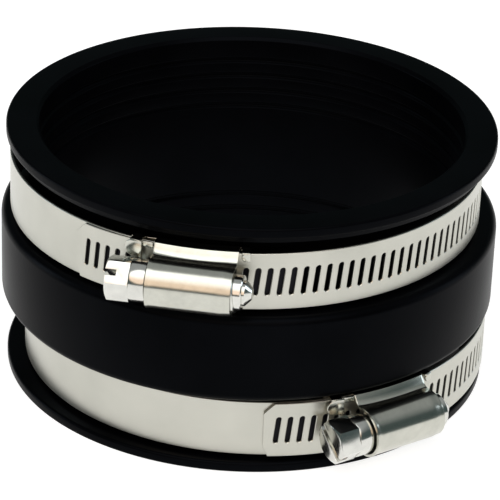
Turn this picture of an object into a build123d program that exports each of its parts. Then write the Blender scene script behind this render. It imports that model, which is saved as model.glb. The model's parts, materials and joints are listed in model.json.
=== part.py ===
"""Flexible pipe coupling: a moulded rubber sleeve with a worm-drive hose clamp in each of its two grooves.

All sizes are millimetres. The origin is on the bore's axis at the middle of the sleeve's height, and +Z runs
along the bore. Each clamp is drawn about its own axis with its screw housing facing -Y: the screw's head
points to -X and its nose to +X. Angles round a clamp are counted from the middle of its housing, positive
towards the nose. A clamp is then turned about Z and set into its groove.
"""
from build123d import *
import os
from math import cos, degrees, radians, sin

os.makedirs("parts", exist_ok=True)

# Rubber sleeve, for 88.9 mm pipe
HALF_HEIGHT = 27.5
BORE_R = 44.6
MOUTH_CHAMFER = 0.7
LIP_R = 51.5
LIP_THICKNESS = 2.2
LIP_ROUND = 0.7
NECK_R = 50.7
NECK_FOOT_R = 50.2
GROOVE_R = 46.8
UPPER_GROOVE_TOP = 23.9
BELT_R = 52.6
BELT_TOP = 8.2
BELT_BOTTOM = -10.7
BELT_ROUND = 1.8
SEAL_GROOVE_R = 0.6
SEAL_GROOVE_DEPTH = 5.4
SEAL_GROOVE_PITCH = 3.65
SEAL_GROOVES = 4

# Clamp band: one strip, whose slotted end runs outside its plain end
BAND_WIDTH = 12.2
BAND_THICKNESS = 0.6
PLAIN_INNER_R = 48.8
SLOTTED_INNER_R = 49.5
TAIL_TIP_ANGLE = -30.6
PLAIN_START_ANGLE = 9.0
LAP_START_ANGLE = 150.0
LAP_END_ANGLE = 165.0
TIP_CHAMFER_LENGTH = 3.0
TIP_CHAMFER_WIDTH = 2.5

# Slots in the band, cut to the screw's pitch
THREAD_PITCH = 2.4
SLOT_WIDTH = 1.05
SLOT_LENGTH = 6.0
SLOT_SLANT = 6.0
SLOTS_BEFORE_SCREW = 10
SLOTS_AFTER_SCREW = 33

# Worm screw
THREAD_R = 4.1
THREAD_DEPTH = 0.6
THREAD_BITE = 0.45
THREAD_TIP_WIDTH = 0.6
THREAD_ROOT_WIDTH = 0.95
THREAD_ROOT_SINK = 0.15
THREAD_START = -7.2
THREAD_TURNS = 7
CORE_START = -8.6
CORE_END = 10.3
COLLAR_R = 4.25
COLLAR_LENGTH = 3.4
HEAD_ACROSS_FLATS = 7.94
HEAD_LENGTH = 4.7
DRIVER_SLOT_WIDTH = 1.3
DRIVER_SLOT_DEPTH = 2.3
UPPER_SLOT_TURN = -42
LOWER_SLOT_TURN = 40
TIP_R = 2.5
TIP_END = 12.1
TIP_CHAMFER = 1.4

# Screw housing
HOUSING_HALF_LENGTH = 8.4
HOUSING_HALF_WIDTH = 6.7
SHEET = 0.8
SIDE_SHEET = 0.5
DOME_INNER_R = 4.2
HOOK_REACH = 2.2
BAND_CLEARANCE = 0.15

# Saddle under the band
SADDLE_SHEET = 0.6
EAR_SHEET = 0.5
EAR_RISE = 0.6
HEAD_EAR_START = -14.3
HEAD_EAR_END = -11.1
HEAD_EAR_REACH = 3.2
NOSE_EAR_START = 8.9
NOSE_EAR_END = 10.6
NOSE_EAR_REACH = 1.6

# Where each clamp hangs: it is loose, so it sits a little off the sleeve's axis
UPPER_PLACE = Location((-1.3, 0, 15.25), (0, 0, -10))
LOWER_PLACE = Location((1.7, 0, -18.3), (0, 0, 34))

slotted_outer_r = SLOTTED_INNER_R + BAND_THICKNESS
screw_r = slotted_outer_r + THREAD_R - THREAD_BITE
drive_r = slotted_outer_r - THREAD_BITE / 2
slot_step = degrees(THREAD_PITCH / drive_r)
skin_inner_r = slotted_outer_r + BAND_CLEARANCE
skin_outer_r = skin_inner_r + SHEET
ear_inner_r = skin_inner_r + EAR_RISE
saddle_inner_r = PLAIN_INNER_R - SADDLE_SHEET
hook_inner_r = saddle_inner_r - SIDE_SHEET
cavity_half_width = HOUSING_HALF_WIDTH - SIDE_SHEET
dome_outer_r = DOME_INNER_R + SHEET
screw_place = Location(Plane((0, -screw_r, 0), x_dir=(0, 1, 0), z_dir=(1, 0, 0)))


def angle_at(along):
    """Angle round the clamp of a point this far along the band from the middle of the housing."""
    return degrees(along / slotted_outer_r)


def radial_plane(angle):
    """Half plane through the clamp's axis: x is the radius and y is the height."""
    turn = radians(angle - 90)
    return Plane(origin=(0, 0, 0), x_dir=(cos(turn), sin(turn), 0), z_dir=(sin(turn), -cos(turn), 0))


def tangent_plane(angle, radius):
    """Plane that touches the band: x runs round the clamp towards the nose and y is the height."""
    turn = radians(angle - 90)
    return Plane(
        origin=(radius * cos(turn), radius * sin(turn), 0),
        x_dir=(-sin(turn), cos(turn), 0),
        z_dir=(cos(turn), sin(turn), 0),
    )


def save(piece, name, place=Location()):
    """Put a finished piece in its place and write it."""
    placed = piece.part.moved(place)
    placed.label = name
    export_step(placed, f"parts/{name}.step")


def seal_groove_heights():
    """Heights of the sealing grooves, the same distance in from each end."""
    depths = [SEAL_GROOVE_DEPTH + SEAL_GROOVE_PITCH * i for i in range(SEAL_GROOVES)]
    return [end * (HALF_HEIGHT - depth) for end in (1, -1) for depth in depths]


def make_sleeve():
    """Rubber sleeve, turned from one profile."""
    lip_in = HALF_HEIGHT - LIP_THICKNESS
    mouth_r = BORE_R + MOUTH_CHAMFER
    mouth_z = HALF_HEIGHT - MOUTH_CHAMFER
    with BuildPart() as sleeve:
        with BuildSketch(Plane.XZ) as profile:
            with BuildLine():
                Polyline(
                    (mouth_r, HALF_HEIGHT),
                    (LIP_R, HALF_HEIGHT),
                    (LIP_R, lip_in),
                    (NECK_R, lip_in),
                    (NECK_FOOT_R, UPPER_GROOVE_TOP),
                    (GROOVE_R, UPPER_GROOVE_TOP),
                    (GROOVE_R, BELT_TOP),
                    (BELT_R, BELT_TOP),
                    (BELT_R, BELT_BOTTOM),
                    (GROOVE_R, BELT_BOTTOM),
                    (GROOVE_R, -lip_in),
                    (LIP_R, -lip_in),
                    (LIP_R, -HALF_HEIGHT),
                    (mouth_r, -HALF_HEIGHT),
                    (BORE_R, -mouth_z),
                    (BORE_R, mouth_z),
                    close=True,
                )
            make_face()
            belt_corners = profile.vertices().filter_by(lambda v: abs(v.X - BELT_R) < 0.01)
            fillet(belt_corners, BELT_ROUND)
            lip_corners = profile.vertices().filter_by(lambda v: abs(v.X - LIP_R) < 0.01)
            fillet(lip_corners, LIP_ROUND)
            with Locations(*[(BORE_R, height) for height in seal_groove_heights()]):
                Circle(SEAL_GROOVE_R, mode=Mode.SUBTRACT)
        revolve(axis=Axis.Z)
    return sleeve


def make_plain_band():
    """Plain end of the strip, from under the screw round the head's side to the lap at the back."""
    with BuildPart() as band:
        with BuildSketch(radial_plane(LAP_START_ANGLE - 360)):
            with Locations((PLAIN_INNER_R + BAND_THICKNESS / 2, 0)):
                Rectangle(BAND_THICKNESS, BAND_WIDTH)
        revolve(axis=Axis.Z, revolution_arc=PLAIN_START_ANGLE - LAP_START_ANGLE + 360)
    return band


def make_slotted_band():
    """Slotted end of the strip, from its cut tip under the screw round the nose's side to the lap."""
    half = BAND_WIDTH / 2
    slot_angles = [i * slot_step for i in range(-SLOTS_BEFORE_SCREW, SLOTS_AFTER_SCREW + 1)]
    with BuildPart() as band:
        with BuildSketch(radial_plane(TAIL_TIP_ANGLE)):
            with Locations((SLOTTED_INNER_R + BAND_THICKNESS / 2, 0)):
                Rectangle(BAND_THICKNESS, BAND_WIDTH)
        revolve(axis=Axis.Z, revolution_arc=LAP_END_ANGLE - TAIL_TIP_ANGLE)
        with BuildSketch(tangent_plane(TAIL_TIP_ANGLE, SLOTTED_INNER_R)):
            for side in (1, -1):
                Polygon(
                    (0, side * half),
                    (TIP_CHAMFER_LENGTH, side * half),
                    (0, side * (half - TIP_CHAMFER_WIDTH)),
                    align=None,
                )
        extrude(amount=2 * BAND_THICKNESS, both=True, mode=Mode.SUBTRACT)
        with BuildSketch(*[tangent_plane(angle, SLOTTED_INNER_R) for angle in slot_angles]):
            SlotOverall(SLOT_LENGTH, SLOT_WIDTH, rotation=90 - SLOT_SLANT)
        extrude(amount=2 * BAND_THICKNESS, both=True, mode=Mode.SUBTRACT)
    return band


def make_thread():
    """Ridge of the right-hand thread, which is on the band's side of the screw wherever a slot crosses it."""
    with BuildPart() as thread:
        with BuildLine() as path:
            Helix(
                THREAD_PITCH,
                THREAD_PITCH * THREAD_TURNS,
                THREAD_R - THREAD_DEPTH / 2,
                center=(0, 0, THREAD_START),
            )
        with BuildSketch(Plane(path.line @ 0, x_dir=(1, 0, 0), z_dir=path.line % 0)):
            Polygon(
                (THREAD_DEPTH / 2, THREAD_TIP_WIDTH / 2),
                (THREAD_DEPTH / 2, -THREAD_TIP_WIDTH / 2),
                (-THREAD_DEPTH / 2 - THREAD_ROOT_SINK, -THREAD_ROOT_WIDTH / 2),
                (-THREAD_DEPTH / 2 - THREAD_ROOT_SINK, THREAD_ROOT_WIDTH / 2),
                align=None,
            )
        sweep(path=path.line, is_frenet=True)
    return thread


def make_screw(slot_turn):
    """Worm screw, drawn along Z with its nose up and the band on its +X side."""
    collar_start = CORE_START - COLLAR_LENGTH
    head_start = collar_start - HEAD_LENGTH
    with BuildPart() as screw:
        with BuildSketch(Plane.XY.offset(CORE_START)):
            Circle(THREAD_R - THREAD_DEPTH)
        extrude(amount=CORE_END - CORE_START)
        with BuildSketch(Plane.XY.offset(CORE_END)):
            Circle(TIP_R)
        extrude(amount=TIP_END - CORE_END)
        chamfer(screw.faces().sort_by(Axis.Z)[-1].edges(), TIP_CHAMFER)
        with BuildSketch(Plane.XY.offset(collar_start)):
            Circle(COLLAR_R)
        extrude(amount=COLLAR_LENGTH)
        with BuildSketch(Plane.XY.offset(head_start)):
            RegularPolygon(HEAD_ACROSS_FLATS / 2, 6, major_radius=False, rotation=30 + slot_turn)
        extrude(amount=HEAD_LENGTH)
        with BuildSketch(Plane.XY.offset(head_start)):
            Rectangle(2 * COLLAR_R + 2, DRIVER_SLOT_WIDTH, rotation=slot_turn)
        extrude(amount=DRIVER_SLOT_DEPTH, mode=Mode.SUBTRACT)
        add(make_thread().part)
    return screw


def make_dome():
    """Dome of the housing: a round-topped tunnel over the screw, open at both ends."""
    with BuildPart() as dome:
        with BuildSketch(Plane.YZ.offset(-HOUSING_HALF_LENGTH)):
            with Locations((-screw_r, 0)):
                Circle(dome_outer_r)
                Rectangle(2 * dome_outer_r, 2 * dome_outer_r, align=(Align.MIN, Align.CENTER))
        extrude(amount=2 * HOUSING_HALF_LENGTH)
        with BuildSketch(Plane.YZ.offset(-HOUSING_HALF_LENGTH)):
            with Locations((-screw_r, 0)):
                Circle(DOME_INNER_R)
                Rectangle(3 * DOME_INNER_R, 2 * DOME_INNER_R, align=(Align.MIN, Align.CENTER))
        extrude(amount=2 * HOUSING_HALF_LENGTH, mode=Mode.SUBTRACT)
        Cylinder(skin_inner_r + SHEET / 2, 4 * BAND_WIDTH, mode=Mode.SUBTRACT)
    return dome


def make_housing():
    """Pressed housing: the dome on flanges that wrap round the band and the saddle."""
    half_angle = angle_at(HOUSING_HALF_LENGTH)
    slit_half_width = DOME_INNER_R + SHEET / 2
    with BuildPart() as housing:
        with BuildSketch(radial_plane(-half_angle)):
            with Locations((hook_inner_r, 0)):
                Rectangle(
                    skin_outer_r - hook_inner_r,
                    2 * HOUSING_HALF_WIDTH,
                    align=(Align.MIN, Align.CENTER),
                )
            with Locations((saddle_inner_r, 0)):
                Rectangle(
                    skin_inner_r - saddle_inner_r,
                    2 * cavity_half_width,
                    align=(Align.MIN, Align.CENTER),
                    mode=Mode.SUBTRACT,
                )
            with Locations((hook_inner_r, 0)):
                Rectangle(3 * SIDE_SHEET, 2 * (cavity_half_width - HOOK_REACH), mode=Mode.SUBTRACT)
            with Locations((skin_outer_r, 0)):
                Rectangle(3 * SHEET, 2 * slit_half_width, mode=Mode.SUBTRACT)
        revolve(axis=Axis.Z, revolution_arc=2 * half_angle)
        add(make_dome().part)
    return housing


def make_saddle():
    """Saddle plate under the plain band, with an ear at each end of its top edge."""
    ears = ((HEAD_EAR_START, HEAD_EAR_END, HEAD_EAR_REACH), (NOSE_EAR_START, NOSE_EAR_END, NOSE_EAR_REACH))
    with BuildPart() as saddle:
        with BuildSketch(radial_plane(angle_at(HEAD_EAR_START))):
            with Locations((saddle_inner_r, 0)):
                Rectangle(SADDLE_SHEET, 2 * cavity_half_width, align=(Align.MIN, Align.CENTER))
        revolve(axis=Axis.Z, revolution_arc=angle_at(NOSE_EAR_END - HEAD_EAR_START))
        for start, end, reach in ears:
            with BuildSketch(radial_plane(angle_at(start))):
                with Locations((saddle_inner_r, cavity_half_width)):
                    Rectangle(
                        ear_inner_r + EAR_SHEET - saddle_inner_r,
                        EAR_SHEET,
                        align=(Align.MIN, Align.MIN),
                    )
                with Locations((ear_inner_r, cavity_half_width)):
                    Rectangle(EAR_SHEET, reach, align=(Align.MIN, Align.MAX))
            revolve(axis=Axis.Z, revolution_arc=angle_at(end - start))
    return saddle


save(make_sleeve(), "sleeve")
clamps = (("upper", UPPER_PLACE, UPPER_SLOT_TURN), ("lower", LOWER_PLACE, LOWER_SLOT_TURN))
for clamp, place, slot_turn in clamps:
    save(make_plain_band(), f"{clamp}_band", place)
    save(make_slotted_band(), f"{clamp}_slotted_band", place)
    save(make_screw(slot_turn), f"{clamp}_screw", place * screw_place)
    save(make_housing(), f"{clamp}_housing", place)
    save(make_saddle(), f"{clamp}_saddle", place)
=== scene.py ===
"""Pipe coupling: the looks of the rubber sleeve and its two worm-drive clamps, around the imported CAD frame.

Pieces are drawn in millimetres and put in place in metres. A clamp is drawn in its own frame: X runs along
the screw from its head to its nose, Z up, and the housing faces -Y. A point on its band is given by s, how
far it is round from the middle of the housing towards the nose, w, its height, and r, its distance from the
axis.
"""
import json
from math import cos, pi, radians, sin, sqrt, tan

import bmesh
import bpy
from mathutils import Matrix, Vector


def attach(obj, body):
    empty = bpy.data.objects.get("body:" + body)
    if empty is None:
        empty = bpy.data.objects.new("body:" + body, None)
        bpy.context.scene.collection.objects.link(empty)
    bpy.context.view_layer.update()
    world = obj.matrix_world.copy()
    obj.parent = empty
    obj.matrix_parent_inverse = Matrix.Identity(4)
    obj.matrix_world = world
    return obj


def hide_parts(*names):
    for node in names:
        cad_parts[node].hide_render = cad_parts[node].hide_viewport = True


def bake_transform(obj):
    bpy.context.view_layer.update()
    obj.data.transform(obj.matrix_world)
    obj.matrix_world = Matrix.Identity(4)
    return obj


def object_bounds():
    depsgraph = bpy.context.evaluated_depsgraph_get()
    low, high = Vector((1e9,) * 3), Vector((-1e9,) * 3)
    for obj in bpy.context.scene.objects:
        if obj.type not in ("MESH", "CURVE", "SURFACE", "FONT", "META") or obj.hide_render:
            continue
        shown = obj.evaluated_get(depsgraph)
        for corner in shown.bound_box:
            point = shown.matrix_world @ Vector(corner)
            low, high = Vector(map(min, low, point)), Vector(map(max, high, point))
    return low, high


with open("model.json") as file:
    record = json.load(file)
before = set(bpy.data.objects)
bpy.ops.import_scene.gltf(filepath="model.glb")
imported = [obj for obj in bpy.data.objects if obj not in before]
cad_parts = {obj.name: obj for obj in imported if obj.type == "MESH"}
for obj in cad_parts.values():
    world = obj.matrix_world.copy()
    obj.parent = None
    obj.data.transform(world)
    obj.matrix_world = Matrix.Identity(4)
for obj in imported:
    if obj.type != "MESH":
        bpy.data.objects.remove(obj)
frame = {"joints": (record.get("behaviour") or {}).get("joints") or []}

cad_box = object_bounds()
MM = 0.001
JOINTS = {joint["name"]: joint for joint in frame["joints"]}

# Camera, from the reference view
CAMERA_DISTANCE = 0.5836
CAMERA_ELEVATION = radians(26.67)
CAMERA_ROLL = radians(2.19)
CAMERA_LENS = 196.1
AIM_RIGHT = 0.0005
AIM_UP = -0.00283
SOFTBOX_WAY = (-0.1, -0.68, 0.726)

# Sleeve
HALF_HEIGHT = 27.5
BORE_R = 44.6
MOUTH_R = 45.3
MOUTH_Z = 26.8
LIP_R = 51.5
LIP_INNER_Z = 25.3
NECK_R = 50.7
NECK_FOOT_R = 50.2
GROOVE_R = 46.8
UPPER_GROOVE_TOP = 23.9
BELT_R = 52.6
BELT_TOP = 8.2
BELT_BOTTOM = -10.7
BELT_ROUND = 1.7
SEAL_DEPTHS = [5.4 + 3.65 * i for i in range(4)]
SLEEVE_STEPS = 288

# Band and its slots
HALF_WIDTH = 6.1
THICKNESS = 0.6
EDGE = 0.12
PLAIN_R = 49.1
SLOTTED_R = 49.8
PITCH = 2.4
DRIVE_R = 49.875
SLOT_LENGTH = 6.0
SLOT_HALF_WIDTH = 0.52
SLANT = tan(radians(6))
SLOTS_BEFORE = 10
SLOTS_AFTER = 33
TIP_LENGTH = 1.6
TIP_CHAMFER = 2.2
PLAIN_END = 120.0
PLAIN_START = 9.0
# How far towards the nose the sheet of painted slot shade reaches, in slot pitches
SHADE_SHEET_SLOTS = 8.5

# Housing and screw
SCREW_R = 53.75
DOME_R = 5.0
FLANGE_R = 51.05
FLANGE_EDGE_R = 50.55
HOUSING_HALF_WIDTH = 6.7
HOUSING_HALF_LENGTH = 8.4
SHEET = 0.55
THREAD_R = 4.1
THREAD_START = -7.2
THREAD_TURNS = 7
CORE_R = 3.5
CORE_END = 10.3
TIP_R = 2.5
TIP_END = 12.1
COLLAR_R = 4.25
COLLAR_END = -8.6
COLLAR_START = -12.0
HEAD_START = -16.7
HEAD_FLATS = 7.94
DRIVER_SLOT = (1.3, 2.3)
SLOT_TURNS = {"upper": -42.0, "lower": 40.0}


# ---------------------------------------------------------------- materials


def material(name):
    """A new node material, its node tree and its Principled shader."""
    made = bpy.data.materials.new(name)
    made.use_nodes = True
    tree = made.node_tree
    return made, tree, tree.nodes["Principled BSDF"]


def node(tree, kind, **inputs):
    """A node of this kind, with its sockets set by name."""
    made = tree.nodes.new(kind)
    for socket, value in inputs.items():
        made.inputs[socket.replace("_", " ")].default_value = value
    return made


def math_node(tree, operation, a, b=None):
    """A Math node; a and b are sockets or numbers."""
    made = tree.nodes.new("ShaderNodeMath")
    made.operation = operation
    for index, value in enumerate((a, b)):
        if value is None:
            continue
        if isinstance(value, (int, float)):
            made.inputs[index].default_value = value
        else:
            tree.links.new(value, made.inputs[index])
    return made.outputs[0]


def vector_node(tree, operation, a, b):
    """A Vector Math node on two sockets."""
    made = tree.nodes.new("ShaderNodeVectorMath")
    made.operation = operation
    tree.links.new(a, made.inputs[0])
    tree.links.new(b, made.inputs[1])
    return made.outputs[0]


def noise(tree, vector, scale, detail=4.0, roughness=0.55):
    """Noise texture on a vector socket."""
    made = node(tree, "ShaderNodeTexNoise", Scale=scale, Detail=detail, Roughness=roughness)
    tree.links.new(vector, made.inputs["Vector"])
    return made.outputs["Fac"]


def ramp(tree, value, low, high, first, last):
    """Colour ramp from first at low to last at high."""
    made = tree.nodes.new("ShaderNodeValToRGB")
    made.color_ramp.elements[0].position = low
    made.color_ramp.elements[0].color = first
    made.color_ramp.elements[1].position = high
    made.color_ramp.elements[1].color = last
    tree.links.new(value, made.inputs["Fac"])
    return made.outputs["Color"]


def spread(tree, value, low, high):
    """Map 0..1 onto low..high."""
    made = node(tree, "ShaderNodeMapRange", To_Min=low, To_Max=high)
    tree.links.new(value, made.inputs["Value"])
    return made.outputs["Result"]


def bump(tree, shader, height, strength, distance):
    """Bump from a height socket."""
    made = node(tree, "ShaderNodeBump", Strength=strength, Distance=distance)
    tree.links.new(height, made.inputs["Height"])
    tree.links.new(made.outputs["Normal"], shader.inputs["Normal"])


def object_place(tree):
    """Object coordinates, which are the row frame's."""
    return tree.nodes.new("ShaderNodeTexCoord").outputs["Object"]


def around_place(tree):
    """Coordinates for grain that runs round the sleeve: angle, then radius and height much more finely."""
    parts = tree.nodes.new("ShaderNodeSeparateXYZ")
    tree.links.new(object_place(tree), parts.inputs[0])
    angle = math_node(tree, "ARCTAN2", parts.outputs["Y"], parts.outputs["X"])
    joined = tree.nodes.new("ShaderNodeCombineXYZ")
    tree.links.new(math_node(tree, "MULTIPLY", angle, 0.05), joined.inputs["X"])
    tree.links.new(math_node(tree, "MULTIPLY", parts.outputs["Z"], 9.0), joined.inputs["Y"])
    return joined.outputs[0]


def rubber():
    """Deep black moulded rubber, with a faint bloom and a fine orange-peel skin."""
    made, tree, shader = material("black_rubber")
    place = object_place(tree)
    bloom = noise(tree, place, 38.0, 5.0, 0.6)
    skin = noise(tree, place, 1500.0, 3.0)
    colour = ramp(tree, bloom, 0.35, 0.75, (0.0004, 0.0004, 0.0006, 1), (0.0016, 0.0017, 0.0024, 1))
    tree.links.new(colour, shader.inputs["Base Color"])
    tree.links.new(spread(tree, bloom, 0.27, 0.4), shader.inputs["Roughness"])
    shader.inputs["Specular IOR Level"].default_value = 0.03
    shader.inputs["Specular Tint"].default_value = (0.72, 0.84, 1.0, 1)
    bump(tree, shader, skin, 0.12, 0.0001)
    return made


def band_steel():
    """Rolled stainless strip: warm pale grey, satin, with the rolling grain along its length."""
    made, tree, shader = material("rolled_steel")
    grain = noise(tree, around_place(tree), 420.0, 5.0, 0.65)
    blotch = noise(tree, object_place(tree), 55.0, 3.0)
    colour = ramp(tree, blotch, 0.3, 0.7, (0.47, 0.47, 0.42, 1), (0.55, 0.545, 0.49, 1))
    tree.links.new(colour, shader.inputs["Base Color"])
    shader.inputs["Metallic"].default_value = 1.0
    tree.links.new(spread(tree, grain, 0.26, 0.42), shader.inputs["Roughness"])
    bump(tree, shader, grain, 0.10, 0.00005)
    return made


def polished_steel(name, colour, rough_low, rough_high):
    """Pressed or turned bright steel, with faint handling marks."""
    made, tree, shader = material(name)
    place = object_place(tree)
    marks = noise(tree, place, 260.0, 6.0, 0.7)
    wave = noise(tree, place, 120.0, 1.0)
    tint = ramp(tree, marks, 0.35, 0.8, colour, tuple(c * 0.82 for c in colour[:3]) + (1,))
    tree.links.new(tint, shader.inputs["Base Color"])
    shader.inputs["Metallic"].default_value = 1.0
    tree.links.new(spread(tree, marks, rough_low, rough_high), shader.inputs["Roughness"])
    bump(tree, shader, wave, 0.18, 0.0002)
    return made


RUBBER = rubber()
BAND_STEEL = band_steel()
# Near-black steel for the sheet under the slotted end: painted shade that makes the slots look black
PAINTED_SLOT_SHADE = polished_steel("painted_slot_shade", (0.012, 0.012, 0.014, 1), 0.4, 0.55)
HOUSING_STEEL = polished_steel("pressed_steel", (0.57, 0.57, 0.51, 1), 0.13, 0.24)
SCREW_STEEL = polished_steel("plated_steel", (0.68, 0.68, 0.64, 1), 0.10, 0.2)


# ---------------------------------------------------------------- mesh building


def finish_mesh(mesh, matrix, sharp):
    """Weld, face outwards, put in place and shade."""
    work = bmesh.new()
    work.from_mesh(mesh)
    bmesh.ops.remove_doubles(work, verts=work.verts, dist=0.0005)
    bmesh.ops.recalc_face_normals(work, faces=work.faces)
    work.to_mesh(mesh)
    work.free()
    mesh.transform(matrix @ Matrix.Scale(MM, 4))
    mesh.shade_smooth()
    mesh.set_sharp_from_angle(angle=radians(sharp))


def piece(name, verts, faces, look, matrix=Matrix(), sharp=32.0):
    """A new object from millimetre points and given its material."""
    mesh = bpy.data.meshes.new(name)
    mesh.from_pydata(verts, [], faces)
    finish_mesh(mesh, matrix, sharp)
    made = bpy.data.objects.new(name, mesh)
    bpy.context.scene.collection.objects.link(made)
    mesh.materials.append(look)
    return made


def grid_faces(rows, columns, start=0, closed=True, row_loop=False):
    """Quads between rows of points; closed joins each row's ends, row_loop the last row to the first."""
    faces = []
    row_count = rows if row_loop else rows - 1
    column_count = columns if closed else columns - 1
    for i in range(row_count):
        a = start + i * columns
        b = start + ((i + 1) % rows) * columns
        for j in range(column_count):
            k = (j + 1) % columns
            faces.append((a + j, a + k, b + k, b + j))
    return faces


def arc_points(cx, cy, radius, start, end, steps):
    """Points on a circle's arc, in degrees."""
    return [
        (cx + radius * cos(radians(start + (end - start) * i / steps)),
         cy + radius * sin(radians(start + (end - start) * i / steps)))
        for i in range(steps + 1)
    ]


def clamp_matrix(clamp):
    """The clamp's own frame, from its joints."""
    along = Vector(JOINTS[f"{clamp}_screw_turn"]["axis"]).normalized()
    centre = Vector(JOINTS[f"{clamp}_band_travel"]["pos_m"])
    across = Vector((0, 0, 1)).cross(along)
    matrix = Matrix((along, across, Vector((0, 0, 1)))).transposed().to_4x4()
    matrix.translation = centre
    return matrix


def on_clamp(s, w, r):
    """Point of the clamp's frame at s round, w up and r out."""
    angle = s / DRIVE_R
    return (r * sin(angle), -r * cos(angle), w)


def modified(obj, *modifiers):
    """Apply modifiers, each given as (kind, settings), and keep the result as the mesh."""
    for kind, settings in modifiers:
        made = obj.modifiers.new(kind.lower(), kind)
        for key, value in settings.items():
            setattr(made, key, value)
    graph = bpy.context.evaluated_depsgraph_get()
    result = bpy.data.meshes.new_from_object(obj.evaluated_get(graph))
    obj.modifiers.clear()
    old = obj.data
    obj.data = result
    bpy.data.meshes.remove(old)
    result.shade_smooth()
    result.set_sharp_from_angle(angle=radians(32))
    return obj


# ---------------------------------------------------------------- sleeve


def rounded(corners):
    """Outline from corners (x, y, radius), each rounded by an arc of its radius."""
    outline = []
    count = len(corners)
    for i, (x, y, radius) in enumerate(corners):
        here = Vector((x, y))
        before = (Vector(corners[i - 1][:2]) - here).normalized()
        after = (Vector(corners[(i + 1) % count][:2]) - here).normalized()
        if radius <= 0:
            outline.append((x, y))
            continue
        half = before.angle(after) / 2
        centre = here + (before + after).normalized() * (radius / sin(half))
        first = here + before * (radius / tan(half))
        last = here + after * (radius / tan(half))
        steps = 6
        for k in range(steps + 1):
            mid = first.lerp(last, k / steps) - centre
            outline.append(tuple(centre + mid.normalized() * radius))
    return outline


def seal_ring(depth, end):
    """Corners of one half-round sealing groove in the bore, from the middle outwards."""
    z = end * (HALF_HEIGHT - depth)
    return [(BORE_R, z - 0.75, 0.15), (BORE_R + 0.62, z - 0.35, 0.3),
            (BORE_R + 0.62, z + 0.35, 0.3), (BORE_R, z + 0.75, 0.15)]


def make_sleeve():
    """The sleeve, turned from one outline with soft moulded corners."""
    corners = [
        (MOUTH_R, HALF_HEIGHT, 0.25), (LIP_R, HALF_HEIGHT, 0.55),
        (LIP_R, LIP_INNER_Z, 0.55), (NECK_R, LIP_INNER_Z, 0.25),
        (NECK_FOOT_R, UPPER_GROOVE_TOP, 0.35), (GROOVE_R, UPPER_GROOVE_TOP, 0.5),
        (GROOVE_R, BELT_TOP, 0.5), (BELT_R, BELT_TOP, BELT_ROUND),
        (BELT_R, BELT_BOTTOM, BELT_ROUND), (GROOVE_R, BELT_BOTTOM, 0.5),
        (GROOVE_R, -LIP_INNER_Z, 0.5), (LIP_R, -LIP_INNER_Z, 0.6),
        (LIP_R, -HALF_HEIGHT, 0.5), (MOUTH_R, -HALF_HEIGHT, 0.25),
        (BORE_R, -MOUTH_Z, 0.25),
    ]
    for depth in SEAL_DEPTHS:
        corners += seal_ring(depth, -1)
    for depth in reversed(SEAL_DEPTHS):
        corners += seal_ring(depth, 1)
    corners.append((BORE_R, MOUTH_Z, 0.25))
    outline = rounded(corners)
    verts = []
    for i in range(SLEEVE_STEPS):
        turn = 2 * pi * i / SLEEVE_STEPS
        verts += [(r * cos(turn), r * sin(turn), z) for r, z in outline]
    faces = grid_faces(SLEEVE_STEPS, len(outline), row_loop=True)
    sleeve = piece("rubber_sleeve", verts, faces, RUBBER, sharp=60.0)
    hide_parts("sleeve")
    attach(sleeve, "sleeve")


# ---------------------------------------------------------------- bands

SIDE_HEIGHTS = [-1 + 2 * i / 6 for i in range(7)]
END_STEPS = 6


def band_section(s, middle_r, half_width, slant):
    """Closed ring of points across the strip: outer face, top edge, inner face, bottom edge."""
    flat = half_width - EDGE
    out, inn = THICKNESS / 2, -THICKNESS / 2
    ring = [(w * flat, out) for w in SIDE_HEIGHTS]
    ring += [(half_width, out - EDGE), (half_width, inn + EDGE)]
    ring += [(w * flat, inn) for w in reversed(SIDE_HEIGHTS)]
    ring += [(-half_width, inn + EDGE), (-half_width, out - EDGE)]
    return [on_clamp(s + slant * w, w, middle_r + t) for w, t in ring]


def add_rows(verts, faces, rows, cap_first=False, cap_last=False):
    """Join sections into a strip, with end caps where the strip ends."""
    start = len(verts)
    for row in rows:
        verts.extend(row)
    columns = len(rows[0])
    faces.extend(grid_faces(len(rows), columns, start))
    if cap_first:
        faces.append(tuple(range(start, start + columns)))
    if cap_last:
        last = start + (len(rows) - 1) * columns
        faces.append(tuple(range(last, last + columns)))


def cell_ring(half_s, half_w, round_end, s0):
    """Ring of points for one slot's cell or hole: right side, top, left side, bottom."""
    ring = [(half_s, w * half_w) for w in SIDE_HEIGHTS]
    tops = [pi * k / END_STEPS for k in range(1, END_STEPS)]
    ring += [(half_s * cos(a), half_w + (half_s * sin(a) if round_end else 0)) for a in tops]
    ring += [(-half_s, w * half_w) for w in reversed(SIDE_HEIGHTS)]
    ring += [(-half_s * cos(a), -half_w - (half_s * sin(a) if round_end else 0)) for a in tops]
    return [(s0 + s + SLANT * w, w) for s, w in ring]


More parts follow.
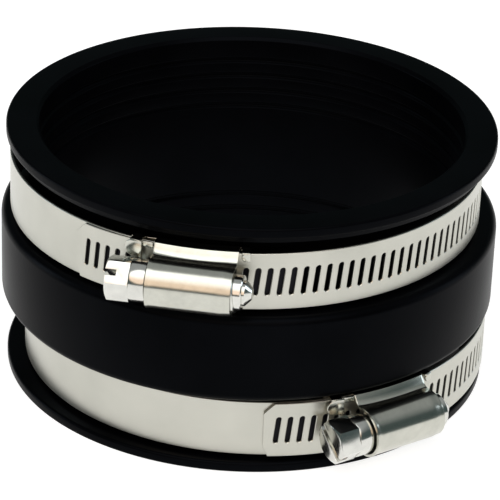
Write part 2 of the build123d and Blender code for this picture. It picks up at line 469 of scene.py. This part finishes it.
def add_slot_cell(verts, faces, s0):
    """One pitch of the strip with a slot in it, its rims slightly rounded."""
    out, inn = SLOTTED_R + THICKNESS / 2, SLOTTED_R - THICKNESS / 2
    straight = SLOT_LENGTH / 2 - SLOT_HALF_WIDTH
    edge = cell_ring(PITCH / 2, HALF_WIDTH - EDGE, False, s0)
    wide = cell_ring(SLOT_HALF_WIDTH + EDGE, straight, True, s0)
    exact = cell_ring(SLOT_HALF_WIDTH, straight, True, s0)
    rings = [(edge, out), (wide, out), (exact, out - EDGE), (exact, inn + EDGE), (wide, inn), (edge, inn)]
    start = len(verts)
    columns = len(edge)
    for ring, r in rings:
        verts.extend(on_clamp(s, w, r) for s, w in ring)
    faces.extend(grid_faces(len(rings), columns, start))
    side = len(SIDE_HEIGHTS)
    top = list(range(side - 1, side + END_STEPS))
    bottom = list(range(2 * side + END_STEPS - 2, columns)) + [0]
    for run, height in ((top, HALF_WIDTH), (bottom, -HALF_WIDTH)):
        base = len(verts)
        rows = []
        for r in (out - EDGE, inn + EDGE):
            rows.append([on_clamp(edge[k][0], height, r) for k in run])
        outer = [on_clamp(edge[k][0], edge[k][1], out) for k in run]
        inner = [on_clamp(edge[k][0], edge[k][1], inn) for k in run]
        for row in (outer, rows[0], rows[1], inner):
            verts.extend(row)
        faces.extend(grid_faces(4, len(run), base, closed=False))


def tip_half_width(s, tip):
    """Half width of the strip near its cut tip."""
    share = min(1.0, (s - tip) / TIP_LENGTH)
    return HALF_WIDTH - TIP_CHAMFER * (1 - share)


def make_slotted_strip(clamp, matrix):
    """The slotted end of the strip, from the cut tip to where the plain back begins."""
    first = -(SLOTS_BEFORE + 0.5) * PITCH
    last = (SLOTS_AFTER + 0.5) * PITCH
    tip = first - TIP_LENGTH
    end = radians(PLAIN_END) * DRIVE_R
    verts, faces = [], []
    tip_rows = []
    for k in range(9):
        s = tip + (first - tip) * k / 8
        tip_rows.append(band_section(s, SLOTTED_R, tip_half_width(s, tip), SLANT * k / 8))
    add_rows(verts, faces, tip_rows, cap_first=True)
    for i in range(-SLOTS_BEFORE, SLOTS_AFTER + 1):
        add_slot_cell(verts, faces, i * PITCH)
    steps = 16
    rows = [
        band_section(last + (end - last) * k / steps, SLOTTED_R, HALF_WIDTH, SLANT * (1 - k / steps))
        for k in range(steps + 1)
    ]
    add_rows(verts, faces, rows, cap_last=True)
    strip = piece(f"{clamp}_slotted_strip", verts, faces, BAND_STEEL, matrix)
    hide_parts(f"{clamp}_slotted_band")
    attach(strip, f"{clamp}_tail")


def ease(x):
    """Smooth step from 0 to 1."""
    x = min(1.0, max(0.0, x))
    return x * x * (3 - 2 * x)


def make_plain_strip(clamp, matrix):
    """The plain end, from under the screw round the head's side."""
    start, end = radians(-PLAIN_END) * DRIVE_R, radians(PLAIN_START) * DRIVE_R
    steps = 96
    stations = [start + (end - start) * k / steps for k in range(steps + 1)]
    rows = [band_section(s, PLAIN_R, HALF_WIDTH, 0) for s in stations]
    verts, faces = [], []
    add_rows(verts, faces, rows, cap_first=True, cap_last=True)
    strip = piece(f"{clamp}_plain_strip", verts, faces, BAND_STEEL, matrix)
    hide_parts(f"{clamp}_band")
    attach(strip, f"{clamp}_clamp")


def make_slot_shade_sheet(clamp, matrix):
    """A thin near-black sheet on the slotted end's inner face, painted shade that makes its slots look black.
    """
    start, end = -(SLOTS_BEFORE + 0.4) * PITCH, SHADE_SHEET_SLOTS * PITCH
    edges = ((-3.4, 49.47), (3.4, 49.47), (3.4, 49.44), (-3.4, 49.44))
    steps = 48
    rows = []
    for k in range(steps + 1):
        s = start + (end - start) * k / steps
        rows.append([on_clamp(s + SLANT * w, w, r) for w, r in edges])
    verts, faces = [], []
    add_rows(verts, faces, rows, cap_first=True, cap_last=True)
    film = piece(f"{clamp}_slot_shade_sheet", verts, faces, PAINTED_SLOT_SHADE, matrix)
    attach(film, f"{clamp}_tail")


def make_back_strip(clamp, matrix):
    """The back of the strip, which joins the plain end to the slotted end and moves between them."""
    start, end = PLAIN_END, 360 - PLAIN_END
    steps = 96
    rows = []
    for k in range(steps + 1):
        share = k / steps
        middle = SLOTTED_R + (PLAIN_R - SLOTTED_R) * ease(share)
        rows.append(band_section(radians(start + (end - start) * share) * DRIVE_R, middle, HALF_WIDTH, 0))
    verts, faces = [], []
    add_rows(verts, faces, rows, cap_first=True, cap_last=True)
    strip = piece(f"{clamp}_back_strip", verts, faces, BAND_STEEL, matrix)
    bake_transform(strip)


# ---------------------------------------------------------------- housing


def housing_profile():
    """Outer face of the pressed sheet on the +Z side, as (w, r), from its hooked edge to the dome's top."""
    side = HOUSING_HALF_WIDTH
    points = [(4.4, 47.75), (5.2, 47.75)]
    points += arc_points(side - 0.45, 48.2, 0.45, -90, 0, 4)
    points += [(side, 49.2)]
    points += arc_points(side - 0.35, FLANGE_EDGE_R - 0.35, 0.35, 0, 54, 4)
    points += [(side - 0.9, FLANGE_EDGE_R + 0.52), (side - 1.5, FLANGE_EDGE_R + 0.95)]
    points += [(4.93, 51.85), (4.80, 52.1)]
    points += arc_points(0, SCREW_R, DOME_R, -16, 90, 18)
    return points


def press(u, w, r):
    """The housing at u along the screw: its flange follows the band, and its dome draws in at the nose."""
    low = ease((SCREW_R - r) / (SCREW_R - FLANGE_R))
    sag = low * (FLANGE_R - sqrt(FLANGE_R * FLANGE_R - u * u))
    draw = 0.045 * ease((u - 5.9) / 2.5) * (1 - low)
    flare = 0.03 * ease((-u - 7.4) / 1.0) * (1 - low)
    size = 1 - draw + flare
    return (u, -(SCREW_R + (r - SCREW_R) * size) + sag, w * size)


def make_shell():
    """The pressed sheet, swept along the screw."""
    half = housing_profile()
    outline = half + [(-w, r) for w, r in reversed(half[:-1])]
    length = HOUSING_HALF_LENGTH
    stations = [-length + 2 * length * k / 40 for k in range(41)]
    verts = [press(u, w, r) for u in stations for w, r in outline]
    return verts, grid_faces(len(stations), len(outline), closed=False)


def plate(outline, low, high):
    """A flat piece that follows the band: outline in (s, w), between two radii."""
    count = len(outline)
    verts = [on_clamp(s, w, r) for r in (high, low) for s, w in outline]
    faces = grid_faces(2, count)
    faces.append(tuple(range(count)))
    faces.append(tuple(range(count, 2 * count)))
    return verts, faces


def ear_outline(start, end, low, high):
    """An ear over the band's top edge, with a rounded outer end."""
    middle = (low + high) / 2
    half = (high - low) / 2
    return arc_points(start + half, middle, half, 110, 250, 8) + [(end, low), (end, high)]


def make_housing(clamp, matrix):
    """Housing: the pressed sheet, with its thickness and soft edges."""
    verts, faces = make_shell()
    housing = piece(f"{clamp}_pressed_housing", verts, faces, HOUSING_STEEL, matrix)
    modified(
        housing,
        ("SOLIDIFY", {"thickness": SHEET * MM, "offset": -1.0, "use_even_offset": True}),
        ("BEVEL", {"width": 0.16 * MM, "segments": 3, "limit_method": "ANGLE", "angle_limit": radians(50)}),
    )
    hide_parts(f"{clamp}_housing")
    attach(housing, f"{clamp}_clamp")


def make_saddle(clamp, matrix):
    """Saddle: the plate under the band and the ears over the band's top edge."""
    base = [(-14.3, -6.15), (10.6, -6.15), (10.6, 6.15), (-14.3, 6.15)]
    head_rise = [(-13.4, 6.17), (-11.1, 6.17), (-11.1, 6.7), (-13.4, 6.7)]
    nose_rise = [(8.9, 6.17), (10.6, 6.17), (10.6, 6.7), (8.9, 6.7)]
    ends = (
        ("saddle_plate", base, 48.2, 48.75),
        ("saddle_head_ear", ear_outline(-14.3, -10.7, 3.0, 6.65), 50.85, 51.35),
        ("saddle_head_neck", [(-11.6, 5.4), (-8.5, 5.4), (-8.5, 6.65), (-11.6, 6.65)], 50.3, 50.84),
        ("saddle_nose_ear", ear_outline(8.9, 10.6, 4.8, 6.65), 50.6, 51.1),
        ("saddle_head_rise", head_rise, 48.2, 51.2),
        ("saddle_nose_rise", nose_rise, 48.2, 51.0),
    )
    for name, outline, low, high in ends:
        verts, faces = plate(outline, low, high)
        made = piece(f"{clamp}_{name}", verts, faces, HOUSING_STEEL, matrix)
        modified(made, ("BEVEL", {"width": 0.16 * MM, "segments": 3, "limit_method": "ANGLE"}))
        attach(made, f"{clamp}_clamp")
        if name == "saddle_plate":
            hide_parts(f"{clamp}_saddle")


# ---------------------------------------------------------------- screw


def lathe(outline, steps=64):
    """Solid of revolution about the screw's axis from (u, radius) points."""
    verts = []
    for u, radius in outline:
        for k in range(steps):
            turn = 2 * pi * k / steps
            verts.append((u, -SCREW_R + radius * cos(turn), radius * sin(turn)))
    faces = grid_faces(len(outline), steps)
    faces.append(tuple(range(steps)))
    faces.append(tuple(range((len(outline) - 1) * steps, len(outline) * steps)))
    return verts, faces


def thread_mesh():
    """The worm's ridge: a right-hand helix with tapered ends, in its slots at rest."""
    per_turn = 48
    count = int(THREAD_TURNS * per_turn)
    verts = []
    for k in range(count + 1):
        turn = 2 * pi * k / per_turn
        u = THREAD_START + PITCH * k / per_turn
        fade = ease(min(k, count - k) / (per_turn * 0.25))
        top = CORE_R - 0.1 + (THREAD_R - CORE_R + 0.1) * fade
        for du, radius in ((-0.5, CORE_R - 0.15), (-0.27, top - 0.06), (-0.2, top), (0.2, top),
                           (0.27, top - 0.06), (0.5, CORE_R - 0.15)):
            verts.append((u + du, -SCREW_R + radius * cos(turn), radius * sin(turn)))
    faces = grid_faces(count + 1, 6)
    faces.append(tuple(range(6)))
    faces.append(tuple(range(count * 6, count * 6 + 6)))
    return verts, faces


def head_blank(turn):
    """Hexagonal prism for the head, at this turn about the screw, as points and faces."""
    corner = HEAD_FLATS / 2 / cos(radians(30))
    verts = []
    for u in (HEAD_START, COLLAR_START + 0.1):
        for k in range(6):
            a = turn + radians(60 * k + 30)
            verts.append((u, -SCREW_R + corner * cos(a), corner * sin(a)))
    return verts, grid_faces(2, 6) + [tuple(range(6)), tuple(range(6, 12))]


def cutter(name, verts, faces, matrix):
    """A helper solid for a boolean, deleted afterwards."""
    mesh = bpy.data.meshes.new(name)
    mesh.from_pydata(verts, [], faces)
    finish_mesh(mesh, matrix, 30)
    made = bpy.data.objects.new(name, mesh)
    bpy.context.scene.collection.objects.link(made)
    return made


def slot_box(turn):
    """Points of the driver slot's box, across the head at this turn."""
    width, depth = DRIVER_SLOT
    verts = []
    for u in (HEAD_START - 1, HEAD_START + depth):
        for across, along in ((-width / 2, -6), (width / 2, -6), (width / 2, 6), (-width / 2, 6)):
            y = along * cos(turn) - across * sin(turn)
            z = along * sin(turn) + across * cos(turn)
            verts.append((u, -SCREW_R + y, z))
    return verts, grid_faces(2, 4) + [(0, 1, 2, 3), (4, 5, 6, 7)]


def shank_outline():
    """Outline of the collar, the core and the tapered tip, as (u, radius) from the head's side."""
    collar = [
        (COLLAR_START, 3.6), (COLLAR_START, COLLAR_R - 0.35), (COLLAR_START + 0.1, COLLAR_R - 0.1),
        (COLLAR_START + 0.35, COLLAR_R), (COLLAR_END - 0.35, COLLAR_R),
        (COLLAR_END - 0.1, COLLAR_R - 0.1), (COLLAR_END, COLLAR_R - 0.35),
    ]
    core = [(COLLAR_END, CORE_R), (CORE_END - 0.2, CORE_R), (CORE_END, CORE_R - 0.2)]
    tip = [(CORE_END, TIP_R), (CORE_END + 0.5, TIP_R), (TIP_END - 0.05, 1.2), (TIP_END, 1.1)]
    return collar + core + tip


def make_screw(clamp, matrix, turn):
    """Worm screw: crowned hexagonal head with its driver slot, collar, core and thread."""
    verts, faces = head_blank(turn)
    head = piece(f"{clamp}_screw_head", verts, faces, SCREW_STEEL, matrix)
    corner = HEAD_FLATS / 2 / cos(radians(30))
    crown = cutter("crown", *lathe([(HEAD_START, corner - 0.75), (HEAD_START + 0.45, corner + 0.05),
                                    (COLLAR_START + 1, corner + 0.3)]), matrix)
    slot = cutter("slot", *slot_box(turn), matrix)
    modified(
        head,
        ("BOOLEAN", {"operation": "INTERSECT", "object": crown, "solver": "EXACT"}),
        ("BOOLEAN", {"operation": "DIFFERENCE", "object": slot, "solver": "EXACT"}),
        ("BEVEL", {"width": 0.13 * MM, "segments": 2, "limit_method": "ANGLE", "angle_limit": radians(28)}),
    )
    for helper in (crown, slot):
        bpy.data.objects.remove(helper)
    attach(head, f"{clamp}_worm")
    verts, faces = lathe(shank_outline())
    shank = piece(f"{clamp}_screw_shank", verts, faces, SCREW_STEEL, matrix)
    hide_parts(f"{clamp}_screw")
    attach(shank, f"{clamp}_worm")
    verts, faces = thread_mesh()
    thread = piece(f"{clamp}_screw_thread", verts, faces, SCREW_STEEL, matrix)
    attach(thread, f"{clamp}_worm")


# ---------------------------------------------------------------- stage, light and camera


def area_light(name, place, size, power, colour, aim=(0, 0, 0)):
    """A soft rectangular light that faces a point."""
    data = bpy.data.lights.new(name, "AREA")
    data.shape = "RECTANGLE"
    data.size, data.size_y = size
    data.energy = power
    data.color = colour
    made = bpy.data.objects.new(name, data)
    made.location = place
    made.rotation_euler = (Vector(aim) - Vector(place)).to_track_quat("-Z", "Y").to_euler()
    bpy.context.scene.collection.objects.link(made)


def make_floor():
    """A plain pale floor."""
    mesh = bpy.data.meshes.new("floor")
    z = cad_box[0][2] - 0.00005
    mesh.from_pydata([(-6, -6, z), (6, -6, z), (6, 6, z), (-6, 6, z)], [], [(0, 1, 2, 3)])
    floor = bpy.data.objects.new("floor", mesh)
    bpy.context.scene.collection.objects.link(floor)
    made, _, shader = material("pale_floor")
    shader.inputs["Base Color"].default_value = (0.5, 0.5, 0.5, 1)
    shader.inputs["Emission Color"].default_value = (1, 1, 1, 1)
    shader.inputs["Emission Strength"].default_value = 0.8
    shader.inputs["Roughness"].default_value = 0.85
    shader.inputs["Specular IOR Level"].default_value = 0.1
    mesh.materials.append(made)


def make_world():
    """Dark studio with one large soft light in front and above, warm at its edge, and a grey ceiling."""
    world = bpy.data.worlds.new("studio")
    world.use_nodes = True
    tree = world.node_tree
    way = tree.nodes.new("ShaderNodeTexCoord").outputs["Generated"]
    facing = tree.nodes.new("ShaderNodeVectorMath")
    facing.operation = "DOT_PRODUCT"
    facing.inputs[1].default_value = SOFTBOX_WAY
    tree.links.new(way, facing.inputs[0])
    toward = facing.outputs["Value"]
    mask = ramp(tree, toward, 0.76, 0.83, (0, 0, 0, 1), (1, 1, 1, 1))
    parts = tree.nodes.new("ShaderNodeSeparateXYZ")
    tree.links.new(way, parts.inputs[0])
    glow = ramp(tree, parts.outputs["Z"], 0.5, 0.9, (0.75, 0.56, 0.43, 1), (1, 1, 1, 1))
    lit = vector_node(tree, "MULTIPLY", mask, glow)
    ceiling = ramp(tree, parts.outputs["Z"], 0.5, 0.8, (0.035, 0.05, 0.05, 1), (0.2, 0.21, 0.21, 1))
    total = vector_node(tree, "ADD", lit, ceiling)
    tree.links.new(total, tree.nodes["Background"].inputs["Color"])
    tree.nodes["Background"].inputs["Strength"].default_value = 1.9
    bpy.context.scene.world = world


def make_camera():
    """Camera at the reference view: in front, raised, and rolled a little."""
    right = Vector((1, 0, 0))
    up = Vector((0, sin(CAMERA_ELEVATION), cos(CAMERA_ELEVATION)))
    place = Vector((0, -cos(CAMERA_ELEVATION), sin(CAMERA_ELEVATION))) * CAMERA_DISTANCE
    forward = (right * AIM_RIGHT + up * AIM_UP - place).normalized()
    flat_right = forward.cross(Vector((0, 0, 1))).normalized()
    flat_up = flat_right.cross(forward)
    rolled = flat_right * cos(CAMERA_ROLL) + flat_up * sin(CAMERA_ROLL)
    rolled_up = rolled.cross(forward)
    data = bpy.data.cameras.new("camera")
    data.lens = CAMERA_LENS
    data.sensor_width = 36.0
    camera = bpy.data.objects.new("camera", data)
    matrix = Matrix((rolled, rolled_up, -forward)).transposed().to_4x4()
    matrix.translation = place
    camera.matrix_world = matrix
    bpy.context.scene.collection.objects.link(camera)
    bpy.context.scene.camera = camera


make_camera()
make_world()
make_floor()
area_light("rim_left", (-0.9, 0.15, 0.25), (0.3, 0.5), 1.5, (0.8, 0.9, 1.0))
area_light("rim_right", (0.9, 0.15, 0.25), (0.3, 0.5), 1.2, (0.8, 0.9, 1.0))
bpy.context.scene.view_settings.view_transform = "Standard"

make_sleeve()
for clamp, slot_turn in SLOT_TURNS.items():
    matrix = clamp_matrix(clamp)
    make_plain_strip(clamp, matrix)
    make_back_strip(clamp, matrix)
    make_slotted_strip(clamp, matrix)
    make_slot_shade_sheet(clamp, matrix)
    make_housing(clamp, matrix)
    make_saddle(clamp, matrix)
    make_screw(clamp, matrix, radians(slot_turn))
